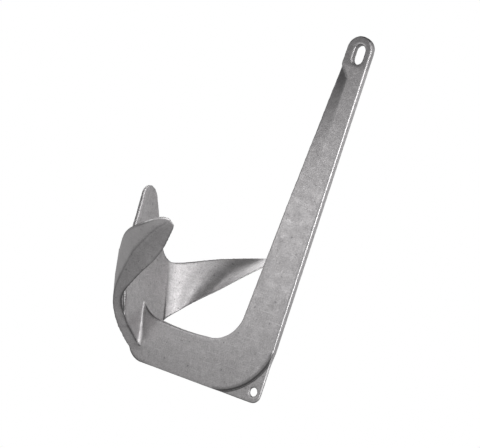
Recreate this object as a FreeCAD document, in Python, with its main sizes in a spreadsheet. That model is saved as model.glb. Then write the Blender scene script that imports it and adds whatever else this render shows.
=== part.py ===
import FreeCAD, Part
import math
import os
import Sketcher

V = FreeCAD.Vector

# Every body is drawn with u from the shank's back edge towards the claw, w sideways to port and
# z up the shank from the base edge. Each body is then given half a turn about z and moved by
# `reach`, so the claw points to -X and the origin lies under the middle of the anchor's box.

SIZES = [
    ("reach", 158.3, "shank's back edge to the origin"),
    ("shank_thickness", 13.0, "plate of the shank, base bar and eye"),
    ("slot_width", 18.5, "shackle slot"),
    ("slot_height", 31.5, "shackle slot, end to end"),
    ("slot_centre_u", 20.5, "shackle slot from the back edge"),
    ("slot_centre_z", 570.4, "shackle slot above the base edge"),
    ("slot_chamfer", 1.5, "softened rim of the slot"),
    ("facet_width", 17.0, "front corner planed off under the eye"),
    ("facet_depth", 3.6, "depth of that facet at its top"),
    ("facet_end_depth", 0.3, "depth of the facet where it runs out"),
    ("facet_end_z", 330.0, "height where the facet runs out"),
    ("throat_radius", 53.0, "inside corner between shank and base bar"),
    ("bar_top_radius", 420.0, "slight hollow in the bar's top edge"),
    ("bar_root_radius", 53.0, "bar's top edge sweeping up the palm"),
    ("crown_radius", 100.0, "outside corner of the thick plate"),
    ("web_thickness", 7.0, "thin web outside the crown corner"),
    ("web_corner_radius", 14.0, "outer corner of the web"),
    ("web_fillet_width", 3.3, "fillet between thick plate and web"),
    ("trip_hole_diameter", 14.0, "trip-line hole"),
    ("trip_hole_u", 14.0, "trip-line hole from the back edge"),
    ("trip_hole_z", 17.5, "trip-line hole above the base edge"),
    ("palm_width", 200.0, "blank the palm is trimmed from"),
    ("palm_face_radius", 940.0, "slight hollow of the palm's inner face"),
    ("heel_radius", 36.0, "outside corner where the bar turns up into the palm"),
    ("notch_radius", 27.0, "corner between centre fluke and side fluke"),
    ("centre_width", 110.0, "blank the centre fluke is trimmed from"),
    ("centre_tip_radius", 23.0, "rounded tip of the centre fluke"),
    ("fluke_root_thickness", 19.0, "side fluke at the palm, under its crease"),
    ("fluke_tip_thickness", 3.4, "side fluke at the tip, under its crease"),
    ("fluke_notch_thickness", 6.5, "side fluke at the palm, leading edge"),
    ("fluke_edge_thickness", 4.0, "side fluke's leading edge, clear of the palm"),
    ("fluke_trail_thickness", 2.6, "side fluke's trailing edge"),
    ("fluke_bulge", 1.7, "crown of the outer face between crease and leading edge"),
    ("palm_fillet_foot", 6.0, "fillet between bar and palm at the heel"),
    ("palm_fillet_top", 1.2, "the same fillet at its upper end"),
]
SIZE = {alias: value for alias, value, note in SIZES}

# Corners of the side outlines (u, z) and of the trimmed outlines (w, height on the face).
CORNERS = {
    "eye_back": (0.0, 578.0),
    "eye_front": (44.0, 578.0),
    "ridge_front": (44.4, 549.0),
    "ridge_turn": (27.5, 530.0),
    "ridge_back": (0.0, 530.0),
    "front_foot": (70.1, 124.5),
    "throat_end": (122.0, 75.0),
    "bar_top": (212.0, 74.5),
    "bar_root": (254.6, 96.5),
    "bar_heel": (229.7, 0.0),
    "web_back": (0.0, 85.0),
    "web_back_in": (1.131, 85.0),
    "web_low_in": (85.0, 1.131),
    "web_low": (85.0, 0.0),
    "web_corner_low": (14.0, 0.0),
    "web_corner_back": (0.0, 14.0),
    "heel_top": (259.5, 33.0),
    "palm_in_top": (287.3, 190.0),
    "palm_out_mid": (276.0, 115.0),
    "palm_out_top": (293.0, 188.2),
    "centre_in": (304.2, 250.0),
    "centre_tip_in": (312.0, 275.5),
    "centre_tip_out": (316.6, 274.1),
    "centre_out": (309.8, 248.3),
}


def make_sheet(doc):
    """Spreadsheet holding every size and outline corner."""
    sheet = doc.addObject("Spreadsheet::Sheet", "Sizes")
    rows = list(SIZES)
    for name, (across, up) in CORNERS.items():
        rows.append((name + "_a", across, "outline corner, across"))
        rows.append((name + "_b", up, "outline corner, up"))
    for row, (alias, value, note) in enumerate(rows, start=1):
        sheet.set("A%d" % row, note)
        sheet.set("B%d" % row, str(value))
        sheet.setAlias("B%d" % row, alias)
    doc.recompute()
    return sheet


def new_body(doc, name):
    """Empty body standing in the row's frame."""
    body = doc.addObject("PartDesign::Body", name)
    body.Label = name
    body.Placement = FreeCAD.Placement(V(SIZE["reach"], 0, 0), FreeCAD.Rotation(V(0, 0, 1), 180))
    body.setExpression("Placement.Base.x", "Sizes.reach")
    return body


def plane_sketch(body, name, role):
    """Sketch on one of the body's origin planes."""
    plane = next(f for f in body.Origin.OriginFeatures if f.Role == role)
    sketch = body.newObject("Sketcher::SketchObject", name)
    sketch.AttachmentSupport = [(plane, "")]
    sketch.MapMode = "FlatFace"
    return sketch


def free_sketch(body, name, origin, across, up):
    """Sketch standing anywhere in the body, from its origin and two axes."""
    sketch = body.newObject("Sketcher::SketchObject", name)
    normal = across.cross(up).normalize()
    sketch.Placement = FreeCAD.Placement(origin, FreeCAD.Rotation(across, up, normal, "ZXY"))
    return sketch


def arc_middle(start, end, radius, turn):
    """Middle point of the short arc; turn is 1 for anticlockwise and -1 for clockwise."""
    chord = end - start
    left = V(-chord.y, chord.x, 0).normalize()
    rise = radius - math.sqrt(max(radius ** 2 - (chord.Length / 2) ** 2, 0.0))
    return (start + end) * 0.5 - left * (turn * rise)


def tie(sketch, kind, *refs_value_expression):
    """Constraint driven by an expression."""
    *refs, value, expression = refs_value_expression
    index = sketch.addConstraint(Sketcher.Constraint(kind, *refs, value))
    sketch.setExpression("Constraints[%d]" % index, expression)


def draw(sketch, steps):
    """Closed outline through the steps (point, expression across, expression up, arc or None).

    An arc is (radius, turn, expression of the radius) and runs to the next step's point.
    """
    first = sketch.GeometryCount
    ends = []
    for index, (start, _, _, arc) in enumerate(steps):
        end = steps[(index + 1) % len(steps)][0]
        if arc is None:
            sketch.addGeometry(Part.LineSegment(start, end))
            ends.append((1, 2))
        else:
            middle = arc_middle(start, end, arc[0], arc[1])
            sketch.addGeometry(Part.Arc(start, middle, end))
            ends.append((1, 2) if arc[1] > 0 else (2, 1))
    for index, (start, across, up, arc) in enumerate(steps):
        following = (index + 1) % len(steps)
        here, there = first + index, first + following
        joint = Sketcher.Constraint("Coincident", here, ends[index][1], there, ends[following][0])
        sketch.addConstraint(joint)
        tie(sketch, "DistanceX", -1, 1, here, ends[index][0], start.x, across)
        tie(sketch, "DistanceY", -1, 1, here, ends[index][0], start.y, up)
        if arc is not None and arc[2] is not None:
            tie(sketch, "Radius", here, arc[0], arc[2])


def corner(name, radius=None, turn=1):
    """Step of an outline that stands at a named corner, with an arc to the next one."""
    across, up = CORNERS[name]
    arc = None if radius is None else (SIZE[radius], turn, "Sizes." + radius)
    return V(across, up, 0), "Sizes.%s_a" % name, "Sizes.%s_b" % name, arc


def pad(body, name, sketch, length):
    """Symmetric pad of a sketch; length is a size's name."""
    feature = body.newObject("PartDesign::Pad", name)
    feature.Profile = sketch
    feature.SideType = "Symmetric"
    feature.Length = SIZE[length]
    feature.setExpression("Length", "Sizes." + length)
    return feature


def pocket_through(body, name, sketch):
    """Pocket running through the whole body both ways."""
    feature = body.newObject("PartDesign::Pocket", name)
    feature.Profile = sketch
    feature.SideType = "Symmetric"
    feature.Type = "ThroughAll"
    return feature


def mirror(body, name, feature):
    """The same feature on the other side of the middle plane."""
    twin = body.newObject("PartDesign::Mirrored", name)
    twin.Originals = [feature]
    plane = next(f for f in body.Origin.OriginFeatures if f.Role == "XZ_Plane")
    twin.MirrorPlane = (plane, [""])
    body.Tip = twin
    return twin


def make_shank(doc):
    """Straight shank and base bar in one J-shaped plate, with a facet on each front corner."""
    body = new_body(doc, "shank")
    outline = plane_sketch(body, "ShankOutline", "XZ_Plane")
    draw(outline, [
        corner("ridge_back"),
        corner("web_back"),
        corner("web_back_in", "crown_radius", 1),
        corner("web_low_in"),
        corner("web_low"),
        corner("bar_heel"),
        corner("bar_root", "bar_root_radius", -1),
        corner("bar_top", "bar_top_radius", -1),
        corner("throat_end", "throat_radius", -1),
        corner("front_foot"),
        corner("ridge_front"),
        corner("ridge_turn"),
    ])
    pad(body, "ShankPlate", outline, "shank_thickness")
    doc.recompute()

    ridge = V(*CORNERS["ridge_front"], 0) - V(*CORNERS["ridge_turn"], 0)
    slope = V(ridge.x, 0, ridge.y).normalize()
    turn_u, turn_z = CORNERS["ridge_turn"]
    half = SIZE["shank_thickness"] / 2
    top = free_sketch(body, "FacetTop", V(turn_u, half, turn_z), slope, V(0, 1, 0))
    facet_section(top, 30.0, 30.0 / 25.4, "Sizes.facet_depth * 30 / 25.4", SIZE["facet_depth"])
    foot = free_sketch(body, "FacetFoot", V(turn_u, half, SIZE["facet_end_z"]), V(1, 0, 0), V(0, 1, 0))
    facet_section(foot, 34.0, 1.0, "Sizes.facet_end_depth", SIZE["facet_end_depth"])
    facet = body.newObject("PartDesign::SubtractiveLoft", "Facet")
    facet.Profile = top
    facet.Sections = [foot]
    doc.recompute()
    mirror(body, "FacetTwin", facet)
    return body


def facet_section(sketch, width, scale, expression, depth):
    """Thin wedge planed off the front corner: starts at the facet's inner line."""
    draw(sketch, [
        (V(0, 0, 0), "0", "0", None),
        (V(width, -depth * scale, 0), str(width), "-(%s)" % expression, None),
        (V(width, 3, 0), str(width), "3", None),
        (V(0, 3, 0), "0", "3", None),
    ])


def make_eye(doc):
    """Rounded head of the shank with the chamfered shackle slot."""
    body = new_body(doc, "shank_eye")
    outline = plane_sketch(body, "EyeOutline", "XZ_Plane")
    eye_front = corner("eye_front")[:3] + ((22.0, 1, None),)
    draw(outline, [
        corner("ridge_back"),
        corner("ridge_turn"),
        corner("ridge_front"),
        eye_front,
        corner("eye_back"),
    ])
    tie(outline, "DistanceY", -1, 1, 3, 3, CORNERS["eye_front"][1], "Sizes.eye_front_b")
    pad(body, "EyePlate", outline, "shank_thickness")

    slot = plane_sketch(body, "SlotOutline", "XZ_Plane")
    half = SIZE["slot_width"] / 2
    reach = SIZE["slot_height"] / 2 - half
    u, z = SIZE["slot_centre_u"], SIZE["slot_centre_z"]
    left = "Sizes.slot_centre_u - Sizes.slot_width / 2"
    right = "Sizes.slot_centre_u + Sizes.slot_width / 2"
    low = "Sizes.slot_centre_z - Sizes.slot_height / 2 + Sizes.slot_width / 2"
    high = "Sizes.slot_centre_z + Sizes.slot_height / 2 - Sizes.slot_width / 2"
    draw(slot, [
        (V(u - half, z - reach, 0), left, low, (half, 1, None)),
        (V(u + half, z - reach, 0), right, low, None),
        (V(u + half, z + reach, 0), right, high, (half, 1, None)),
        (V(u - half, z + reach, 0), left, high, None),
    ])
    tie(slot, "DistanceY", -1, 1, 0, 3, z - reach, low)
    tie(slot, "DistanceY", -1, 1, 2, 3, z + reach, high)
    pocket_through(body, "Slot", slot)
    doc.recompute()
    rim = [
        "Edge%d" % (index + 1)
        for index, edge in enumerate(body.Shape.Edges)
        if on_slot_rim(edge, u, z)
    ]
    slot_cut = body.Tip
    chamfer = body.newObject("PartDesign::Chamfer", "SlotRim")
    chamfer.Base = (slot_cut, rim)
    chamfer.Size = SIZE["slot_chamfer"]
    chamfer.setExpression("Size", "Sizes.slot_chamfer")
    body.Tip = chamfer
    return body


def on_slot_rim(edge, u, z):
    """True for the edges of the slot that lie in the two faces of the plate."""
    box = edge.BoundBox
    flat = box.YLength < 0.01
    spot = V(SIZE["reach"] - u, box.Center.y, z)
    return flat and box.Center.distanceToPoint(spot) < SIZE["slot_height"] / 2 - 1


def make_web(doc):
    """Thin web filling the crown's outside corner, with the trip-line hole."""
    body = new_body(doc, "crown_web")
    outline = plane_sketch(body, "WebOutline", "XZ_Plane")
    draw(outline, [
        corner("web_back"),
        corner("web_corner_back", "web_corner_radius", 1),
        corner("web_corner_low"),
        corner("web_low"),
        corner("web_low_in", "crown_radius", -1),
        corner("web_back_in"),
    ])
    pad(body, "WebPlate", outline, "web_thickness")
    hole = plane_sketch(body, "TripHoleOutline", "XZ_Plane")
    centre = V(SIZE["trip_hole_u"], SIZE["trip_hole_z"], 0)
    radius = SIZE["trip_hole_diameter"] / 2
    hole.addGeometry(Part.Circle(centre, V(0, 0, 1), radius))
    tie(hole, "DistanceX", -1, 1, 0, 3, centre.x, "Sizes.trip_hole_u")
    tie(hole, "DistanceY", -1, 1, 0, 3, centre.y, "Sizes.trip_hole_z")
    tie(hole, "Radius", 0, radius, "Sizes.trip_hole_diameter / 2")
    pocket_through(body, "TripHole", hole)
    return body


PALM_MIDDLE = (279.8, 165.0)


def palm_face_u(z):
    """Position of the palm's inner face at height z on the middle plane."""
    names = ("bar_heel", "bar_root", "palm_in_top", "centre_in")
    points = [CORNERS[name] for name in names]
    points.insert(2, PALM_MIDDLE)
    for (u_low, z_low), (u_high, z_high) in zip(points, points[1:]):
        if z <= z_high:
            break
    return u_low + (u_high - u_low) * (z - z_low) / (z_high - z_low)


SEAM_LOW = (60.0, 64.0)
SEAM_HIGH = (72.0, 167.0)
TRIM_LEAN = math.atan2(
    palm_face_u(SEAM_HIGH[1]) - palm_face_u(SEAM_LOW[1]), SEAM_HIGH[1] - SEAM_LOW[1]
)
THROUGH = V(math.cos(TRIM_LEAN), 0, -math.sin(TRIM_LEAN))
UP_FACE = V(math.sin(TRIM_LEAN), 0, math.cos(TRIM_LEAN))


def on_face(w, z):
    """Sketch point in the trimming plane under the face point (w, z)."""
    return V(w, V(palm_face_u(z), 0, z).dot(UP_FACE), 0)


def trim(body, name, points, arcs):
    """Cut away everything outside the outline on one side, then on the other."""
    sketch = free_sketch(body, name + "Outline", V(0, 0, 0), V(0, 1, 0), UP_FACE)
    steps = []
    for index, point in enumerate(points):
        steps.append((point, "%.3f" % point.x, "%.3f" % point.y, arcs.get(index)))
    draw(sketch, steps)
    cut = pocket_through(body, name, sketch)
    body.Document.recompute()
    return mirror(body, name + "Twin", cut)


def make_palm(doc):
    """Flat middle of the claw: padded from its side outline, trimmed to its V-shaped front."""
    body = new_body(doc, "palm")
    outline = plane_sketch(body, "PalmSide", "XZ_Plane")
    draw(outline, [
        corner("bar_heel", "heel_radius", 1),
        corner("heel_top"),
        corner("palm_out_mid"),
        corner("palm_out_top"),
        corner("palm_in_top", "palm_face_radius", -1),
        corner("bar_root"),
    ])
    pad(body, "PalmBlank", outline, "palm_width")
    doc.recompute()
    notch = (SIZE["notch_radius"], -1, "Sizes.notch_radius")
    trim(body, "PalmTrim", [
        on_face(6.5, -40),
        on_face(6.5, 23.5),
        on_face(46, 50),
        on_face(*SEAM_LOW),
        on_face(*SEAM_HIGH),
        on_face(68, 169),
        on_face(53.0, 182),
        on_face(48.5, 190),
        on_face(46, 230),
        on_face(120, 230),
        on_face(120, -40),
    ], {5: notch})
    return body


def make_centre_fluke(doc):
    """Middle finger of the claw, tapering to a rounded tip."""
    body = new_body(doc, "centre_fluke")
    outline = plane_sketch(body, "CentreSide", "XZ_Plane")
    draw(outline, [
        corner("palm_in_top"),
        corner("palm_out_top"),
        corner("centre_out"),
        corner("centre_tip_out"),
        corner("centre_tip_in"),
        corner("centre_in"),
    ])
    pad(body, "CentreBlank", outline, "centre_width")
    doc.recompute()
    tip = (SIZE["centre_tip_radius"], 1, "Sizes.centre_tip_radius")
    trim(body, "CentreTrim", [
        on_face(49.5, 170),
        on_face(48.5, 190),
        on_face(36, 220),
        on_face(23.0, 257.0),
        on_face(0, 275.3),
        on_face(0, 320),
        on_face(120, 320),
        on_face(120, 170),
    ], {3: tip})
    return body


# Side fluke stations along its curl: trailing corner and leading corner of the inner face
# (u, w, z), share of the way from tip to root thickness, and where the outer face's crease
# stands across the width.
STATIONS = [
    ((palm_face_u(64.0), 60.0, 64.0), (palm_face_u(167.0), 72.0, 167.0), 1.000, 0.00),
    ((248.2, 72.0, 77.5), (275.0, 83.5, 166.0), 0.776, 0.12),
    ((243.5, 88.0, 91.0), (266.0, 100.0, 171.5), 0.519, 0.21),
    ((234.0, 99.5, 106.5), (252.5, 123.0, 181.5), 0.346, 0.31),
    ((219.0, 109.5, 125.4), (236.5, 148.5, 193.0), 0.269, 0.42),
    ((204.0, 119.0, 143.0), (220.0, 170.0, 202.0), 0.231, 0.52),
    ((186.0, 127.0, 164.0), (201.0, 188.0, 211.0), 0.167, 0.58),
    ((167.2, 141.0, 188.3), (183.0, 202.0, 218.0), 0.122, 0.62),
    ((154.0, 157.0, 207.0), (167.0, 206.0, 227.0), 0.083, 0.64),
    ((144.3, 169.5, 221.4), (153.0, 199.0, 236.0), 0.038, 0.64),
    ((140.8, 176.0, 230.0), (145.0, 188.0, 237.5), 0.000, 0.60),
]


def make_side_fluke(doc, name):
    """Curled side fluke lofted from the palm's seam to the tip, creased along its outer face."""
    body = new_body(doc, name)
    sections = []
    for index, (trailing, leading, lift, crease) in enumerate(STATIONS):
        start, end = V(*trailing), V(*leading)
        across = (end - start).normalize()
        out = THROUGH
        if index:
            before, after = STATIONS[index - 1], STATIONS[min(index + 1, len(STATIONS) - 1)]
            run = V(*after[0]) + V(*after[1]) - V(*before[0]) - V(*before[1])
            out = across.cross(run) * -1
        out = (out - across * out.dot(across)).normalize()
        sections.append(fluke_section(body, index, start, end, out, lift, crease))
    loft = body.newObject("PartDesign::AdditiveLoft", "FlukeLoft")
    loft.Profile = sections[0]
    loft.Sections = sections[1:]
    return body


def blend_of(low_name, high_name, share):
    """Value and expression part of the way from one size to another."""
    value = SIZE[low_name] * (1 - share) + SIZE[high_name] * share
    text = "(Sizes.%s * %.3f + Sizes.%s * %.3f)" % (low_name, 1 - share, high_name, share)
    return value, text


def fluke_section(body, index, start, end, out, lift, crease):
    """Six-sided section: inner face, leading edge, two outer faces, crease face, trailing edge."""
    across = (end - start).normalize()
    width = (end - start).Length
    rise, rise_text = blend_of("fluke_tip_thickness", "fluke_root_thickness", lift)
    near_palm = max(0.0, (lift - 0.52) / 0.48)
    thin, thin_text = blend_of("fluke_edge_thickness", "fluke_notch_thickness", near_palm)
    middle = (rise + thin) / 2 + SIZE["fluke_bulge"] * lift
    middle_text = "(%s + %s) / 2 + Sizes.fluke_bulge * %.3f" % (rise_text, thin_text, lift)
    trail = SIZE["fluke_trail_thickness"]
    corners = [
        (0.0, 0.0, "0"),
        (width, 0.0, "0"),
        (width, thin, thin_text),
        (width * (1 + crease) / 2, middle, middle_text),
        (width * crease, rise, rise_text),
        (0.0, trail, "Sizes.fluke_trail_thickness"),
    ]
    sketch = free_sketch(body, "FlukeStation%d" % index, start, across, out)
    draw(sketch, [(V(a, b, 0), "%.3f" % a, text, None) for a, b, text in corners])
    return sketch


def make_web_fillet(doc, name):
    """Fillet stepping the thick plate down to the web, round the crown's outside corner."""
    body = new_body(doc, name)
    radius = SIZE["crown_radius"]
    thick, thin = SIZE["shank_thickness"] / 2, SIZE["web_thickness"] / 2
    wide = SIZE["web_fillet_width"]
    sketch = free_sketch(body, "FilletSection", V(0, 0, radius), V(1, 0, 0), V(0, 1, 0))
    draw(sketch, [
        (V(-wide, thin, 0), "-Sizes.web_fillet_width", "Sizes.web_thickness / 2", None),
        (V(0, thin, 0), "0", "Sizes.web_thickness / 2", None),
        (V(0, thick, 0), "0", "Sizes.shank_thickness / 2", None),
    ])
    axis = Part.LineSegment(V(radius, 0, 0), V(radius, 10, 0))
    axis_index = sketch.addGeometry(axis, True)
    sweep = body.newObject("PartDesign::Revolution", "FilletSweep")
    sweep.Profile = sketch
    sweep.ReferenceAxis = (sketch, ["Axis0"])
    sweep.Angle = 90
    sweep.Reversed = True
    doc.recompute()
    beyond = plane_sketch(body, "BeyondEdges", "XZ_Plane")
    wide_box = ("-20", "Sizes.crown_radius + 20"), (-20, radius + 20)
    keep_box = ("0", "Sizes.web_low_a"), (0, CORNERS["web_low"][0])
    for (low_text, high_text), (low, high) in (wide_box, keep_box):
        draw(beyond, [
            (V(low, low, 0), low_text, low_text, None),
            (V(high, low, 0), high_text, low_text, None),
            (V(high, high, 0), high_text, high_text, None),
            (V(low, high, 0), low_text, high_text, None),
        ])
    pocket_through(body, "BeyondCut", beyond)
    return body


def make_palm_fillet(doc, name):
    """Tapering fillet in the corner between the base bar's side and the palm's inner face."""
    body = new_body(doc, name)
    low, high = V(235.8, 0, 23.5), V(*CORNERS["bar_root"], 0)
    high = V(high.x, 0, high.y)
    along = (high - low).normalize()
    back = V(-along.z, 0, along.x)
    half = SIZE["shank_thickness"] / 2
    sketches = []
    for label, spot, size in (("Foot", low, "palm_fillet_foot"), ("Top", high, "palm_fillet_top")):
        sketch = free_sketch(body, "Fillet" + label, spot + V(0, half, 0), back, V(0, 1, 0))
        draw(sketch, [
            (V(0, 0, 0), "0", "0", None),
            (V(SIZE[size], 0, 0), "Sizes." + size, "0", None),
            (V(0, SIZE[size], 0), "0", "Sizes." + size, None),
        ])
        sketches.append(sketch)
    loft = body.newObject("PartDesign::AdditiveLoft", "FilletTaper")
    loft.Profile = sketches[0]
    loft.Sections = sketches[1:]
    return body


def make_twin(doc, source, name):
    """The same piece on the other side of the middle plane."""
    twin = doc.addObject("Part::Mirroring", name)
    twin.Label = name
    twin.Source = source
    twin.Base = (0, 0, 0)
    twin.Normal = (0, 1, 0)
    return twin


def main():
    doc = FreeCAD.newDocument("ClawAnchor")
    make_sheet(doc)
    parts = [
        make_shank(doc),
        make_eye(doc),
        make_web(doc),
        make_palm(doc),
        make_centre_fluke(doc),
    ]
    paired = (
        (make_side_fluke, "fluke"),
        (make_web_fillet, "web_fillet"),
        (make_palm_fillet, "palm_fillet"),
    )
    for make, what in paired:
        port = make(doc, "port_" + what)
        parts += [port, make_twin(doc, port, "starboard_" + what)]
    doc.recompute()
    for item in doc.Objects:
        bad = [word for word in ("Invalid", "Error") if word in item.State]
        if bad:
            raise RuntimeError("%s: %s %s" % (item.Name, item.State, item.getStatusString()))
    os.makedirs("parts", exist_ok=True)
    for part in parts:
        shape = part.Shape
        if shape.isNull() or not shape.isValid():
            raise RuntimeError("bad shape: " + part.Label)
        shape.exportStep("parts/%s.step" % part.Label)


main()
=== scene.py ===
import math

import bmesh
import bpy
import numpy as np
from mathutils import Matrix, Vector, noise


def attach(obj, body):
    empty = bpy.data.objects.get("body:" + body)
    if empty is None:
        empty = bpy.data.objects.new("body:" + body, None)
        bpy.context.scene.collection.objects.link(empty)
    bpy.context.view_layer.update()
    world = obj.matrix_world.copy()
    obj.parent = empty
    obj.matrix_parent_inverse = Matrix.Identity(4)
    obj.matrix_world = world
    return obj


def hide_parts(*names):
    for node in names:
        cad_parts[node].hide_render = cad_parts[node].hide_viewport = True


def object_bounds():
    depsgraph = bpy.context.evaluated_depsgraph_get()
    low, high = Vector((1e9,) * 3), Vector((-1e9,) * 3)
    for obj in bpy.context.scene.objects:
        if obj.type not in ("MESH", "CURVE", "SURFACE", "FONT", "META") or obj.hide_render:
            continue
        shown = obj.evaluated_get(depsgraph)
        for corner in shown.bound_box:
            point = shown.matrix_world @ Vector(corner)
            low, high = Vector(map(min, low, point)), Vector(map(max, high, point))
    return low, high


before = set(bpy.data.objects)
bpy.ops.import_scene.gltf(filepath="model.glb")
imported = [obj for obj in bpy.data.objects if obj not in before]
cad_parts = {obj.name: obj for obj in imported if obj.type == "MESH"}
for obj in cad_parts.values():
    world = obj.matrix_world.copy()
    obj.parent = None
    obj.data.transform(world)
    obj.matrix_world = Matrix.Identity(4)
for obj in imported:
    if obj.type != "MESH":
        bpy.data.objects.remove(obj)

cad_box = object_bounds()

# Sizes in metres. A point (u, z) lies in the middle plane: u runs from the shank's back edge
# towards the claw, so the row's x is REACH - u.
REACH = cad_box[1][0]
CROWN_RADIUS = 0.100
WEB_FOOT = 0.085
BAR_ROOT_LOW = (0.2297, 0.0)
BAR_ROOT_HIGH = (0.2546, 0.0965)
SEAM_LOW = (0.2462, 0.060, 0.064)
SEAM_HIGH = (0.2804, 0.072, 0.167)

# The cells that divide the skin: outlines (u, z), and how far they go each side of the middle.
EYE_CELL = (
    (-0.03, 0.53),
    (0.0275, 0.53),
    (0.0444, 0.549),
    (0.08, 0.589),
    (0.08, 0.64),
    (-0.03, 0.64),
)
CENTRE_CELL = ((0.26, 0.1986), (0.33, 0.1765), (0.33, 0.33), (0.26, 0.33))
CENTRE_SIDES = (-0.058, 0.058)
PLATE_SIDES = (-0.03, 0.03)
ROOT_CLEARANCE = 0.0008
PALM_FILLET_LOW, PALM_FILLET_HIGH, PALM_FILLET_REACH = 0.012, 0.105, 0.02
PALM_FILLET_SIDES = (0.0068, 0.025)
WEB_FILLET_WIDTH = 0.0045
WEB_FILLET_SIDES = (0.0038, 0.009)
SHANK_BACK, SHANK_FRONT, SHANK_TOP = -0.05, 0.31, 0.7
ROOT_TOP = 0.33
OUTSIDE = -0.02
FLUKE_CELL_SIDE, FLUKE_CELL_LOW, FLUKE_CELL_HIGH = 0.4, -0.3, 0.6
FLUKE_CELL_DEPTH = (-0.6, 0.6)

# The remeshed skin: cell size, and passes of smoothing for arrises, heel fillets and tones.
VOXEL = 0.0012
ARRIS_PASSES = 6
HEEL_PASSES = 24
TONE_PASSES = 8
FULL_BEND = 0.0006
CRUMB = 300
SHARP_ANGLE = math.radians(60)

# The zinc's relief: depth, feature size and seed of each layer, and what a seed shifts it by.
SEED_STEPS = (17.3, 5.1, 9.7)
RELIEF = ((0.00010, 0.030, 1), (0.00006, 0.0065, 2), (0.00005, 0.0028, 3))
CHIPS = (0.00030, 0.0045, 4)
RUNS = (0.00007, 0.0036, 5)
RUN_SLANT = math.radians(50)
RUN_STRETCH = 6
GROOVE_DEPTH = 0.00030
GROOVE_WIDTH = 0.0014

# Where each tone comes in, most of them painted shade or painted highlight: a pair is the place, or
# the turn of the surface, from none to full.
HEEL_BEND, HEEL_FORWARD, HEEL_LOW = (0.0001, 0.0005), (0.060, 0.070), (0.045, 0.030)
# Painted shade on the shank's front facet and over the eye.
FACET_TURN, FACET_SIDE = (0.012, 0.05), (0.80, 0.90)
FACET_FADE, FACET_TOP = (0.38, 0.53), (0.552, 0.546)
EYE_FOOT, EYE_SHARE = (0.548, 0.553), 0.45
# Painted shade on arrises: how far they turn down or up, the eye's foot, where the wings start and
# where the centre fluke ends.
DOWN_TURN, UP_TURN, HEAD_FOOT = (0.35, 0.70), (0.25, 0.55), (0.570, 0.580)
WING_START, CENTRE_SIDE, CENTRE_FOOT = (0.045, 0.075), (0.062, 0.054), (0.180, 0.190)
OUTER_TURN, OUTER_SIDE = (0.1, 0.4), (0.066, 0.074)
# Painted shade on a side fluke's outer face just past the crease towards its trailing edge, and
# painted light on its leading side before the crease.
LEE_START, LEE_END, BEVEL_LIGHT_START = (0.0, 0.004), (0.032, 0.010), (0.001, 0.006)
# Painted shade across the web step and in the wing pockets.
STEP_START, STEP_END, STEP_SIDE = (0.0955, 0.1020), (0.1064, 0.1046), (0.0025, 0.0034)
POCKET_START, POCKET_END = (0.0595, 0.0612), (0.0685, 0.0645)
POCKET_TOP, POCKET_TURN = (0.108, 0.096), (0.3, 0.6)
RUNS_FADE = (0.34, 0.46)
# Gain of the painted shade on arrises, share of painted shade in the crease groove, and curve of
# the painted shade across the web step.
SHADE_GAIN, GROOVE_SHADE, STEP_CURVE = 1.7, 0.4, 1.4

# Stations along a side fluke's curl, as in the part's source: trailing and leading corner of its
# inner face (u, distance from the middle, z), and the crease's height over that face and its place
# across it, as a share of the width.
STATIONS = (
    (SEAM_LOW, SEAM_HIGH, 0.0190, 0.00),
    ((0.2482, 0.0720, 0.0775), (0.2750, 0.0835, 0.1660), 0.0155, 0.12),
    ((0.2435, 0.0880, 0.0910), (0.2660, 0.1000, 0.1715), 0.0115, 0.21),
    ((0.2340, 0.0995, 0.1065), (0.2525, 0.1230, 0.1815), 0.0088, 0.31),
    ((0.2190, 0.1095, 0.1254), (0.2365, 0.1485, 0.1930), 0.0076, 0.42),
    ((0.2040, 0.1190, 0.1430), (0.2200, 0.1700, 0.2020), 0.0070, 0.52),
    ((0.1860, 0.1270, 0.1640), (0.2010, 0.1880, 0.2110), 0.0060, 0.58),
    ((0.1672, 0.1410, 0.1883), (0.1830, 0.2020, 0.2180), 0.0053, 0.62),
    ((0.1540, 0.1570, 0.2070), (0.1670, 0.2060, 0.2270), 0.0047, 0.64),
    ((0.1443, 0.1695, 0.2214), (0.1530, 0.1990, 0.2360), 0.0040, 0.64),
    ((0.1408, 0.1760, 0.2300), (0.1450, 0.1880, 0.2375), 0.0034, 0.60),
)
# Direction across a side fluke's face, and a spot inside the scoop that its outer face turns from.
FLUKE_ACROSS = (-0.23, 0.30, 0.93)
SCOOP_CENTRE = (-0.03, 0.09, 0.23)


# ---------------------------------------------------------------- one skin over the whole casting

def new_object(name, mesh):
    piece = bpy.data.objects.new(name, mesh)
    bpy.context.collection.objects.link(piece)
    return piece


def evaluated_mesh(piece, name):
    """Mesh of a piece with its modifiers applied."""
    ready = piece.evaluated_get(bpy.context.evaluated_depsgraph_get())
    mesh = bpy.data.meshes.new_from_object(ready)
    mesh.name = name
    return mesh


def discard(piece):
    mesh = piece.data
    bpy.data.objects.remove(piece)
    bpy.data.meshes.remove(mesh)


def joined_nodes():
    """Every CAD node's surface in one new mesh."""
    points, faces = [], []
    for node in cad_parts.values():
        first = len(points)
        points += [tuple(vertex.co) for vertex in node.data.vertices]
        faces += [[first + i for i in face.vertices] for face in node.data.polygons]
    mesh = bpy.data.meshes.new("all_nodes")
    mesh.from_pydata(points, [], faces)
    return mesh


def remeshed(mesh):
    """One closed skin round the touching solids."""
    block = new_object("block", mesh)
    remesh = block.modifiers.new("Skin", "REMESH")
    remesh.mode = "VOXEL"
    remesh.voxel_size = VOXEL
    skin = evaluated_mesh(block, "skin")
    discard(block)
    return skin


def read_points(mesh):
    points = np.empty(len(mesh.vertices) * 3)
    mesh.vertices.foreach_get("co", points)
    return points.reshape(-1, 3)


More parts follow.
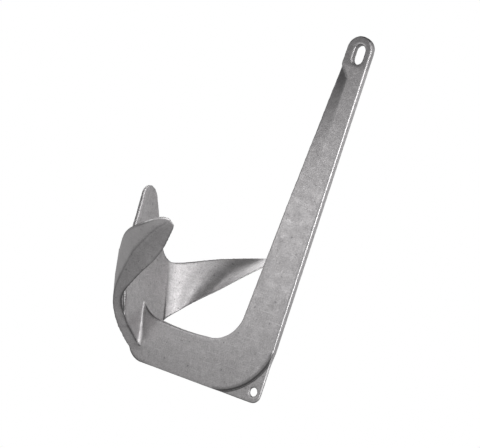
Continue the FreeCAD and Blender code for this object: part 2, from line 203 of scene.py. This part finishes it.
def read_normals(mesh):
    normals = np.empty(len(mesh.vertices) * 3)
    mesh.vertices.foreach_get("normal", normals)
    return normals.reshape(-1, 3)


def write_points(mesh, points):
    mesh.vertices.foreach_set("co", points.ravel())
    mesh.update()


def smoothed(mesh, points, times, share=0.5):
    """Points moved towards the mean of their neighbours, a few times."""
    edges = np.empty(len(mesh.edges) * 2, dtype=np.int64)
    mesh.edges.foreach_get("vertices", edges)
    near, far = edges.reshape(-1, 2).T
    count = len(points)
    degree = np.bincount(near, minlength=count) + np.bincount(far, minlength=count)
    points = points.copy()
    for _ in range(times):
        total = np.zeros_like(points)
        for axis in range(3):
            total[:, axis] = np.bincount(near, points[far, axis], count)
            total[:, axis] += np.bincount(far, points[near, axis], count)
        points += share * (total / degree[:, None] - points)
    return points


def write_value(mesh, name, values):
    attribute = mesh.attributes.new(name, "FLOAT", "POINT")
    attribute.data.foreach_set("value", np.asarray(values, dtype=np.float32))


def noise_at(points, size, seed):
    """Smooth noise of the given feature size, about -1 to 1, at every point."""
    shift = Vector([seed * step for step in SEED_STEPS])
    basis = "PERLIN_ORIGINAL"
    return np.array([noise.noise(Vector(p) / size + shift, noise_basis=basis) for p in points])


def ramp(values, start, full):
    """0 up to start and 1 beyond full, whichever way they lie."""
    return np.clip((values - start) / (full - start), 0, 1)


def dots(first, second):
    """Dot product of two arrays of vectors, row by row."""
    return np.einsum("ij,ij->i", first, second)


def filled_corners(mesh, points):
    """Fuller fillets where the wings of the claw rise out of the base bar."""
    soft = smoothed(mesh, points, HEEL_PASSES)
    inside = ramp(dots(soft - points, read_normals(mesh)), *HEEL_BEND)
    inside = smoothed(mesh, np.repeat(inside[:, None], 3, axis=1), TONE_PASSES)[:, :1]
    heel = ramp(-points[:, 0], *HEEL_FORWARD) * ramp(points[:, 2], *HEEL_LOW)
    return points + (soft - points) * np.clip(inside * 2, 0, 1) * heel[:, None]


def painted_facet_shade(points, normals):
    """Painted shade on the facet down the shank's front, where its surface turns forward, and a
    weaker painted shade over the whole eye.
    """
    height = points[:, 2]
    lean = ramp(-normals[:, 0], *FACET_TURN) * ramp(np.abs(normals[:, 1]), *FACET_SIDE)
    forward_shade = lean * ramp(height, *FACET_FADE) ** 2 * ramp(height, *FACET_TOP)
    return np.maximum(forward_shade, EYE_SHARE * ramp(height, *EYE_FOOT))


def shaded_arris(points, normals):
    """Arrises given painted shade: facing down or forward, over the eye, round the wings."""
    down = ramp(np.maximum(-normals[:, 2], -normals[:, 0]), *DOWN_TURN)
    over_eye = ramp(normals[:, 2], *UP_TURN) * ramp(points[:, 2], *HEAD_FOOT)
    wing = ramp(-points[:, 0], *WING_START)
    centre = ramp(np.abs(points[:, 1]), *CENTRE_SIDE) * ramp(points[:, 2], *CENTRE_FOOT)
    return np.maximum(np.maximum(down, over_eye), wing * (1 - centre))


def crease_line():
    """Points (x, distance from the middle, z) along the crease, from the palm to near the tip."""
    middles = [(Vector(trailing) + Vector(leading)) / 2 for trailing, leading, *_ in STATIONS]
    runs = [Vector((0, 1, 0))]
    runs += [after - before for before, after in zip(middles, middles[2:])]
    line = []
    for (trailing, leading, height, share), run in zip(STATIONS, runs):
        width = Vector(leading) - Vector(trailing)
        out = run.cross(width).normalized()
        point = Vector(trailing) + width * share + out * height
        line.append((REACH - point.x, point.y, point.z))
    return np.array(line)


def crease_values(points, normals):
    """How far each point is past the crease towards the trailing edge, how far it is from the
    crease, and how much it belongs to a side fluke's outer face."""
    spots = points.copy()
    spots[:, 1] = np.abs(spots[:, 1])
    facing = normals.copy()
    facing[:, 1] *= np.where(points[:, 1] < 0, -1, 1)
    nearest = np.full(len(points), np.inf)
    past = np.zeros(len(points))
    line = crease_line()
    for start, end in zip(line[:-1], line[1:]):
        run = end - start
        share = np.clip((spots - start) @ run / (run @ run), 0, 1)
        off = spots - start - share[:, None] * run
        gap = np.linalg.norm(off, axis=1)
        outward = np.cross(run, FLUKE_ACROSS)
        outward /= np.linalg.norm(outward)
        trailing = np.cross(run, outward)
        trailing *= -np.sign(trailing[2]) / np.linalg.norm(trailing)
        nearer = gap < nearest
        nearest[nearer] = gap[nearer]
        past[nearer] = (off @ trailing)[nearer]
    away = spots - np.array(SCOOP_CENTRE)
    outer = ramp(dots(facing, away) / np.linalg.norm(away, axis=1), *OUTER_TURN)
    outer *= ramp(spots[:, 1], *OUTER_SIDE)
    return past * (outer > 0), nearest, outer


def web_step_shade(points):
    """Painted shade in the crescent where the thick plate steps down to the crown's web."""
    radius = np.hypot(points[:, 0] - (REACH - CROWN_RADIUS), points[:, 2] - CROWN_RADIUS)
    corner = (points[:, 0] > REACH - WEB_FOOT) & (points[:, 2] < WEB_FOOT)
    band = ramp(radius, *STEP_START) ** STEP_CURVE * ramp(radius, *STEP_END)
    return band * corner * ramp(np.abs(points[:, 1]), *STEP_SIDE)


def wing_pocket_shade(points, normals):
    """Painted shade in the corner behind the palm's edge, where a wing's trailing edge starts."""
    side = np.abs(points[:, 1])
    near = ramp(side, *POCKET_START) * ramp(side, *POCKET_END)
    return near * ramp(points[:, 2], *POCKET_TOP) * ramp(normals[:, 0], *POCKET_TURN)


def zinc_runs(points):
    """Slanting runs in the zinc on the upper shank, where it drained as it cooled."""
    depth, size, seed = RUNS
    cosine, sine = math.cos(RUN_SLANT), math.sin(RUN_SLANT)
    along = points[:, 0] * cosine + points[:, 2] * sine
    across = points[:, 2] * cosine - points[:, 0] * sine
    drawn_out = np.column_stack([along / RUN_STRETCH, points[:, 1], across])
    return depth * (noise_at(drawn_out, size, seed) * ramp(points[:, 2], *RUNS_FADE))


def zinc_relief(points, arris, groove):
    """Height of the zinc's surface over the smooth casting, with chips along the arrises."""
    lift = np.zeros(len(points))
    for depth, size, seed in RELIEF:
        lift += depth * noise_at(points, size, seed)
    depth, size, seed = CHIPS
    lift -= depth * arris * np.clip(noise_at(points, size, seed) * 2.0, 0, 1)
    lift += zinc_runs(points)
    lift -= GROOVE_DEPTH * groove
    return lift


def make_skin():
    """The casting's skin: rounded arrises, uneven zinc, chipped corners, and painted shade and
    painted highlights kept on its points.
    """
    mesh = remeshed(joined_nodes())
    points = smoothed(mesh, read_points(mesh), ARRIS_PASSES)
    write_points(mesh, points)
    points = filled_corners(mesh, points)
    write_points(mesh, points)
    normals = read_normals(mesh)

    # Bend is how far smoothing moves a point: convex on arrises, concave in hollows, which get
    # painted shade.
    bend = dots(smoothed(mesh, points, TONE_PASSES) - points, normals)
    arris = np.clip(-bend / FULL_BEND, 0, 1)
    hollow_shade = np.clip(bend / FULL_BEND, 0, 1)
    past, gap, outer = crease_values(points, normals)
    groove = np.exp(-((gap / GROOVE_WIDTH) ** 2)) * outer
    shaded = shaded_arris(points, normals)
    # Painted shade on arrises that turn away, in the web's step and in the wing pockets.
    painted_shade = np.maximum(np.clip(SHADE_GAIN * arris * shaded, 0, 1), web_step_shade(points))
    painted_shade = np.maximum(painted_shade, wing_pocket_shade(points, normals))

    lift = zinc_relief(points, arris, groove)
    write_points(mesh, points + normals * lift[:, None])
    # Painted highlight on the rounded arrises, except those given painted shade.
    write_value(mesh, "arris", arris * (1 - shaded))
    write_value(mesh, "painted_shade", painted_shade)
    # Painted shade in the hollows and along the crease groove.
    write_value(mesh, "hollow_shade", np.clip(hollow_shade + GROOVE_SHADE * groove, 0, 1))
    # Painted shade past the crease and painted light before it, on the side flukes' outer faces.
    write_value(mesh, "lee_shade", ramp(past, *LEE_START) * ramp(past, *LEE_END) * outer)
    write_value(mesh, "bevel_light", ramp(-past, *BEVEL_LIGHT_START) * outer)
    write_value(mesh, "facet_shade", painted_facet_shade(points, normals))
    return new_object("skin", mesh)


# ------------------------------------------------------------------- the skin divided into pieces

def in_middle_plane(u, z):
    return Vector((REACH - u, 0, z))


def prism(outline, sides, across=Vector((0, 1, 0)), place=in_middle_plane):
    """Closed prism over an outline of points, from one side to the other along its axis."""
    low, high = sides
    flat = [place(*point) for point in outline]
    count = len(flat)
    points = [p + across * low for p in flat] + [p + across * high for p in flat]
    faces = [list(range(count)), list(range(2 * count - 1, count - 1, -1))]
    faces += [[i, count + i, count + (i + 1) % count, (i + 1) % count] for i in range(count)]
    mesh = bpy.data.meshes.new("cell")
    mesh.from_pydata([tuple(p) for p in points], [], faces)
    volume = sum(face.center.dot(face.normal) * face.area for face in mesh.polygons)
    if volume < 0:
        mesh.flip_normals()
    return new_object("cell", mesh)


def crown_arc(radius, steps=40):
    """Points (u, z) round the crown's outside corner, from the back edge to the base edge."""
    start = math.asin((CROWN_RADIUS - WEB_FOOT) / CROWN_RADIUS)
    angles = [start + (math.pi / 2 - 2 * start) * i / steps for i in range(steps + 1)]
    return [
        (CROWN_RADIUS - radius * math.cos(a), CROWN_RADIUS - radius * math.sin(a)) for a in angles
    ]


def root_line(z, off=0.0):
    """Point (u, z) on the line where the base bar meets the palm."""
    slope = (BAR_ROOT_HIGH[0] - BAR_ROOT_LOW[0]) / BAR_ROOT_HIGH[1]
    return BAR_ROOT_LOW[0] + slope * z - off, z


def fluke_cell(side):
    """Everything beyond the plane where a side fluke bends out of the palm."""
    low, high = Vector(SEAM_LOW), Vector(SEAM_HIGH)
    lean = math.atan2(high.x - low.x, high.z - low.z)
    up = Vector((-math.sin(lean), 0, math.cos(lean)))
    through = Vector((-math.cos(lean), 0, -math.sin(lean)))

    def on_plane(w, height):
        return Vector((0, side * w, 0)) + up * height

    def height_of(point):
        return Vector((REACH - point.x, 0, point.z)).dot(up)

    foot, top = height_of(low), height_of(high)
    slope = (high.y - low.y) / (top - foot)
    outline = [
        (low.y + slope * (FLUKE_CELL_LOW - foot), FLUKE_CELL_LOW),
        (FLUKE_CELL_SIDE, FLUKE_CELL_LOW),
        (FLUKE_CELL_SIDE, FLUKE_CELL_HIGH),
        (low.y + slope * (FLUKE_CELL_HIGH - foot), FLUKE_CELL_HIGH),
    ]
    return prism(outline, FLUKE_CELL_DEPTH, through, on_plane)


def port(sides):
    """The port side's mirror image of a starboard range."""
    near, far = sides
    return -far, -near


def cells():
    """Space taken by each piece, in the order they are cut off; the palm is what is left."""
    web = [(OUTSIDE, WEB_FOOT), *crown_arc(CROWN_RADIUS), (WEB_FOOT, OUTSIDE), (OUTSIDE, OUTSIDE)]
    ring = crown_arc(CROWN_RADIUS) + crown_arc(CROWN_RADIUS + WEB_FILLET_WIDTH)[::-1]
    corner = [
        root_line(PALM_FILLET_LOW, ROOT_CLEARANCE),
        root_line(PALM_FILLET_HIGH, ROOT_CLEARANCE),
        root_line(PALM_FILLET_HIGH, PALM_FILLET_REACH),
        root_line(PALM_FILLET_LOW, PALM_FILLET_REACH),
    ]
    shank = [
        (SHANK_BACK, OUTSIDE),
        root_line(OUTSIDE, ROOT_CLEARANCE),
        root_line(ROOT_TOP, ROOT_CLEARANCE),
        (SHANK_FRONT, SHANK_TOP),
        (SHANK_BACK, SHANK_TOP),
    ]
    return [
        ("shank_eye", prism(EYE_CELL, PLATE_SIDES)),
        ("port_palm_fillet", prism(corner, port(PALM_FILLET_SIDES))),
        ("starboard_palm_fillet", prism(corner, PALM_FILLET_SIDES)),
        ("port_web_fillet", prism(ring, port(WEB_FILLET_SIDES))),
        ("starboard_web_fillet", prism(ring, WEB_FILLET_SIDES)),
        ("crown_web", prism(web, PLATE_SIDES)),
        ("centre_fluke", prism(CENTRE_CELL, CENTRE_SIDES)),
        ("port_fluke", fluke_cell(-1)),
        ("starboard_fluke", fluke_cell(1)),
        ("shank", prism(shank, PLATE_SIDES)),
    ]


def cut(piece, cell, operation, name):
    """What a piece and a cell share, or what the cell leaves of the piece."""
    modifier = piece.modifiers.new("Cut", "BOOLEAN")
    modifier.solver = "MANIFOLD"
    modifier.operation = operation
    modifier.object = cell
    mesh = evaluated_mesh(piece, name)
    piece.modifiers.remove(modifier)
    return mesh


def drop_crumbs(mesh):
    """Clear away the slivers that a cut leaves where two cells share a face."""
    shape = bmesh.new()
    shape.from_mesh(mesh)
    seen = set()
    crumbs = []
    for vertex in shape.verts:
        if vertex in seen:
            continue
        seen.add(vertex)
        island = [vertex]
        for spot in island:
            near = [edge.other_vert(spot) for edge in spot.link_edges]
            fresh = [other for other in near if other not in seen]
            seen.update(fresh)
            island += fresh
        if len(island) < CRUMB:
            crumbs += island
    bmesh.ops.delete(shape, geom=crumbs, context="VERTS")
    shape.to_mesh(mesh)
    shape.free()


def finish_piece(name, mesh, material):
    drop_crumbs(mesh)
    mesh.materials.clear()
    mesh.materials.append(material)
    mesh.shade_smooth()
    mesh.set_sharp_from_angle(angle=SHARP_ANGLE)
    piece = new_object("anchor_" + name, mesh)
    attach(piece, "root")
    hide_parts(name)
    return piece


def make_pieces(material):
    rest = make_skin()
    for name, cell in cells():
        finish_piece(name, cut(rest, cell, "INTERSECT", name), material)
        left = cut(rest, cell, "DIFFERENCE", "rest")
        discard(rest)
        discard(cell)
        rest = new_object("rest", left)
    finish_piece("palm", rest.data, material)
    bpy.data.objects.remove(rest)


# ------------------------------------------------------------------------------- galvanised steel

class Nodes:
    """Small helper for wiring a material's nodes."""

    def __init__(self, material):
        material.use_nodes = True
        self.tree = material.node_tree
        self.tree.nodes.clear()

    def add(self, kind, **values):
        node = self.tree.nodes.new(kind)
        for name, value in values.items():
            setattr(node, name, value)
        return node

    def link(self, source, target):
        self.tree.links.new(source, target)

    def noise(self, coords, scale, detail, roughness, distortion=0.0):
        node = self.add("ShaderNodeTexNoise")
        self.link(coords, node.inputs["Vector"])
        node.inputs["Scale"].default_value = scale
        node.inputs["Detail"].default_value = detail
        node.inputs["Roughness"].default_value = roughness
        node.inputs["Distortion"].default_value = distortion
        return node.outputs["Fac"]

    def mapping(self, coords, scale, rotation):
        node = self.add("ShaderNodeMapping")
        self.link(coords, node.inputs["Vector"])
        node.inputs["Scale"].default_value = scale
        node.inputs["Rotation"].default_value = rotation
        return node.outputs["Vector"]

    def spread(self, value, low, high, to_low=0.0, to_high=1.0):
        node = self.add("ShaderNodeMapRange")
        self.link(value, node.inputs["Value"])
        limits = {"From Min": low, "From Max": high, "To Min": to_low, "To Max": to_high}
        for name, number in limits.items():
            node.inputs[name].default_value = number
        return node.outputs["Result"]

    def mix(self, share, first, second):
        node = self.add("ShaderNodeMix", data_type="RGBA")
        sockets = (node.inputs[0], node.inputs[6], node.inputs[7])
        for socket, value in zip(sockets, (share, first, second)):
            if isinstance(value, bpy.types.NodeSocket):
                self.link(value, socket)
            elif isinstance(value, float):
                socket.default_value = value
            else:
                socket.default_value = (*value, 1.0)
        return node.outputs[2]

    def tint(self, colour, value, share, tone):
        """The colour moved towards a tone wherever the value is high."""
        node = self.add("ShaderNodeMath", operation="MULTIPLY")
        self.link(value, node.inputs[0])
        node.inputs[1].default_value = share
        return self.mix(node.outputs[0], colour, tone)

    def attribute(self, name):
        return self.add("ShaderNodeAttribute", attribute_name=name).outputs["Fac"]


# Mottling, coarse to fine: noise (scale, detail, roughness, distortion), the noise values that
# turn fully dark and fully pale, and those two colours. Each finer layer is mixed in half and half.
MOTTLE = (
    ((28, 4, 0.6, 0.6), (0.35, 0.65), (0.40, 0.385, 0.39), (0.50, 0.485, 0.49)),
    ((120, 3, 0.6, 0.4), (0.35, 0.65), (0.33, 0.32, 0.325), (0.59, 0.575, 0.58)),
    ((480, 3, 0.7, 0.0), (0.3, 0.7), (0.26, 0.25, 0.255), (0.68, 0.665, 0.67)),
)

# Painted shade and painted highlights: point attribute, its greatest share, and the colour it
# brings.
SHADE_AND_HIGHLIGHT_TONES = (
    # painted shade in hollows and the crease groove
    ("hollow_shade", 0.8, (0.10, 0.098, 0.10)),
    # painted shade on the shank's front facet and the eye
    ("facet_shade", 0.85, (0.13, 0.127, 0.13)),
    # painted light on the side flukes' leading side
    ("bevel_light", 0.5, (0.64, 0.625, 0.63)),
    # painted shade on the side flukes' outer face past the crease
    ("lee_shade", 0.22, (0.18, 0.176, 0.18)),
    # painted highlight on arrises
    ("arris", 0.5, (0.75, 0.74, 0.745)),
    # painted shade on arrises that turn away, the web step and the wing pockets
    ("painted_shade", 0.88, (0.06, 0.059, 0.06)),
)

# Scratches, pits, roughness and fine bumps: noise as above, the values where it starts and ends.
SCRATCH_NOISE, SCRATCH_SPAN = (1, 4, 0.6, 0.3), (0.60, 0.74)
SCRATCH_STRETCH, SCRATCH_TURN = (30, 30, 700), (0, math.radians(28), 0)
SCRATCH_SHARE, SCRATCH_COLOUR = 0.65, (0.72, 0.71, 0.71)
PIT_NOISE, PIT_SPAN = (170, 2, 0.5), (0.66, 0.72)
PIT_SHARE, PIT_COLOUR = 0.6, (0.18, 0.176, 0.18)
ROUGH_NOISE, ROUGH_SPAN, ROUGHNESS = (90, 4, 0.65), (0.3, 0.7), (0.39, 0.50)
BUMP_NOISE, BUMP_STRENGTH, BUMP_DEPTH = (700, 3, 0.6), 0.35, 0.0002
METALLIC = 0.85


def zinc_colour(n, coords):
    """Mottled grey zinc with pale scratches, dark pits, and the painted shade and painted
    highlights kept on the points.
    """
    colour, *finer = [
        n.mix(n.spread(n.noise(coords, *settings), *span), dark, pale)
        for settings, span, dark, pale in MOTTLE
    ]
    for layer in finer:
        colour = n.mix(0.5, colour, layer)
    slanting = n.mapping(coords, SCRATCH_STRETCH, SCRATCH_TURN)
    scratches = n.spread(n.noise(slanting, *SCRATCH_NOISE), *SCRATCH_SPAN)
    colour = n.tint(colour, scratches, SCRATCH_SHARE, SCRATCH_COLOUR)
    pits = n.spread(n.noise(coords, *PIT_NOISE), *PIT_SPAN)
    colour = n.tint(colour, pits, PIT_SHARE, PIT_COLOUR)
    for name, share, tone in SHADE_AND_HIGHLIGHT_TONES:
        colour = n.tint(colour, n.attribute(name), share, tone)
    return colour


def galvanised_steel():
    material = bpy.data.materials.new("galvanised_steel")
    n = Nodes(material)
    coords = n.add("ShaderNodeTexCoord").outputs["Object"]
    shader = n.add("ShaderNodeBsdfPrincipled")
    output = n.add("ShaderNodeOutputMaterial")
    n.link(shader.outputs["BSDF"], output.inputs["Surface"])
    n.link(zinc_colour(n, coords), shader.inputs["Base Color"])
    shader.inputs["Metallic"].default_value = METALLIC
    rough = n.spread(n.noise(coords, *ROUGH_NOISE), *ROUGH_SPAN, *ROUGHNESS)
    n.link(rough, shader.inputs["Roughness"])
    bump = n.add("ShaderNodeBump")
    bump.inputs["Strength"].default_value = BUMP_STRENGTH
    bump.inputs["Distance"].default_value = BUMP_DEPTH
    n.link(n.noise(coords, *BUMP_NOISE), bump.inputs["Height"])
    n.link(bump.outputs["Normal"], shader.inputs["Normal"])
    return material


# --------------------------------------------------------------------------- stage, lights, camera

def shadeless(name, seen, felt):
    """Material that looks plain pale and gives the metal only a little light."""
    material = bpy.data.materials.new(name)
    n = Nodes(material)
    path = n.add("ShaderNodeLightPath").outputs["Is Camera Ray"]
    glow = n.add("ShaderNodeEmission")
    n.link(n.mix(path, (felt,) * 3, (seen,) * 3), glow.inputs["Color"])
    output = n.add("ShaderNodeOutputMaterial")
    n.link(glow.outputs["Emission"], output.inputs["Surface"])
    return material


FLOOR_HALF, FLOOR_HEIGHT, FLOOR_GLOW = 8.0, -0.002, 0.433
WORLD_GLOW = 0.08


def make_stage():
    corners = [(-1, -1), (1, -1), (1, 1), (-1, 1)]
    mesh = bpy.data.meshes.new("floor")
    mesh.from_pydata([(x * FLOOR_HALF, y * FLOOR_HALF, 0) for x, y in corners], [], [(0, 1, 2, 3)])
    floor = new_object("floor", mesh)
    floor.location.z = FLOOR_HEIGHT
    mesh.materials.append(shadeless("pale_floor", 1.0, FLOOR_GLOW))

    world = bpy.data.worlds.new("studio")
    bpy.context.scene.world = world
    n = Nodes(world)
    path = n.add("ShaderNodeLightPath").outputs["Is Camera Ray"]
    background = n.add("ShaderNodeBackground")
    n.link(n.mix(path, (WORLD_GLOW,) * 3, (1.0,) * 3), background.inputs["Color"])
    output = n.add("ShaderNodeOutputWorld")
    n.link(background.outputs["Background"], output.inputs["Surface"])


def bearing(azimuth, elevation):
    """Direction towards an azimuth (0 is -Y, 90 is +X) and elevation in degrees."""
    a, e = math.radians(azimuth), math.radians(elevation)
    return Vector((math.sin(a) * math.cos(e), -math.cos(a) * math.cos(e), math.sin(e)))


def add_light(name, azimuth, elevation, distance, width, height, watts, aim):
    light = bpy.data.lights.new(name, "AREA")
    light.shape = "RECTANGLE"
    light.size = width
    light.size_y = height
    light.energy = watts
    lamp = bpy.data.objects.new(name, light)
    bpy.context.collection.objects.link(lamp)
    back = bearing(azimuth, elevation)
    lamp.location = Vector(aim) + back * distance
    lamp.rotation_euler = back.to_track_quat("Z", "Y").to_euler()
    lamp.visible_camera = False


# Name, azimuth and elevation in degrees, distance, width, height, watts, and the point it faces.
LIGHTS = (
    ("key_high", -30, 0, 0.8, 0.2, 0.25, 0.39, (0.08, 0, 0.33)),
    ("key_low", -30, 0, 0.8, 0.2, 0.25, 0.29, (0.06, 0, 0.18)),
    ("key_mid", -22, 0, 1.0, 0.25, 0.3, 0.34, (0.08, 0, 0.28)),
    ("front_top", 30, 35, 1.6, 0.8, 0.6, 6.4, (0.0, 0, 0.30)),
    ("spot", 50, 15, 1.2, 0.4, 0.4, 1.2, (-0.05, 0.1, 0.15)),
    ("side", 85, 0, 1.6, 0.4, 1.2, 19.8, (0.0, 0, 0.30)),
    ("back_right", 120, 50, 1.6, 0.8, 0.8, 8.2, (0.0, 0, 0.30)),
    ("back", 150, 10, 1.6, 0.8, 1.0, 1.54, (0.0, 0, 0.30)),
    ("left_back", -130, 20, 1.6, 0.8, 0.8, 4.65, (0.0, 0, 0.30)),
    ("left_top", -90, 35, 1.6, 0.8, 0.8, 3.36, (0.0, 0, 0.30)),
)


def make_lights():
    for light in LIGHTS:
        add_light(*light)


# The photo's angle: azimuth and elevation in degrees, roll, distance, and how far right and up of
# the frame's middle the anchor's aimed-at point stands, in metres. The lens is in millimetres.
CAMERA_BEARING = (30.0, 0.5)
CAMERA_ROLL = math.radians(18.101)
CAMERA_DISTANCE = 4.0
CAMERA_AIM_HEIGHT = 0.300
CAMERA_ASIDE, CAMERA_BELOW = 0.120856, 0.001425
LENS, SENSOR = 192.06, 36.0


def make_camera():
    """Long lens, rolled so that the shank leans to the right."""
    roll = CAMERA_ROLL
    back = bearing(*CAMERA_BEARING)
    level_right = (-back).cross(Vector((0, 0, 1))).normalized()
    level_up = level_right.cross(-back)
    right = math.cos(roll) * level_right + math.sin(roll) * level_up
    up = math.cos(roll) * level_up - math.sin(roll) * level_right
    aim = Vector((REACH, 0, CAMERA_AIM_HEIGHT))
    place = aim + back * CAMERA_DISTANCE - right * CAMERA_ASIDE - up * CAMERA_BELOW
    data = bpy.data.cameras.new("camera")
    data.sensor_fit = "HORIZONTAL"
    data.sensor_width = SENSOR
    data.lens = LENS
    camera = bpy.data.objects.new("camera", data)
    bpy.context.collection.objects.link(camera)
    turn = Matrix((right, up, back)).transposed().to_4x4()
    camera.matrix_world = Matrix.Translation(place) @ turn
    bpy.context.scene.camera = camera


make_pieces(galvanised_steel())
make_stage()
make_lights()
make_camera()
bpy.context.scene.view_settings.view_transform = "Standard"
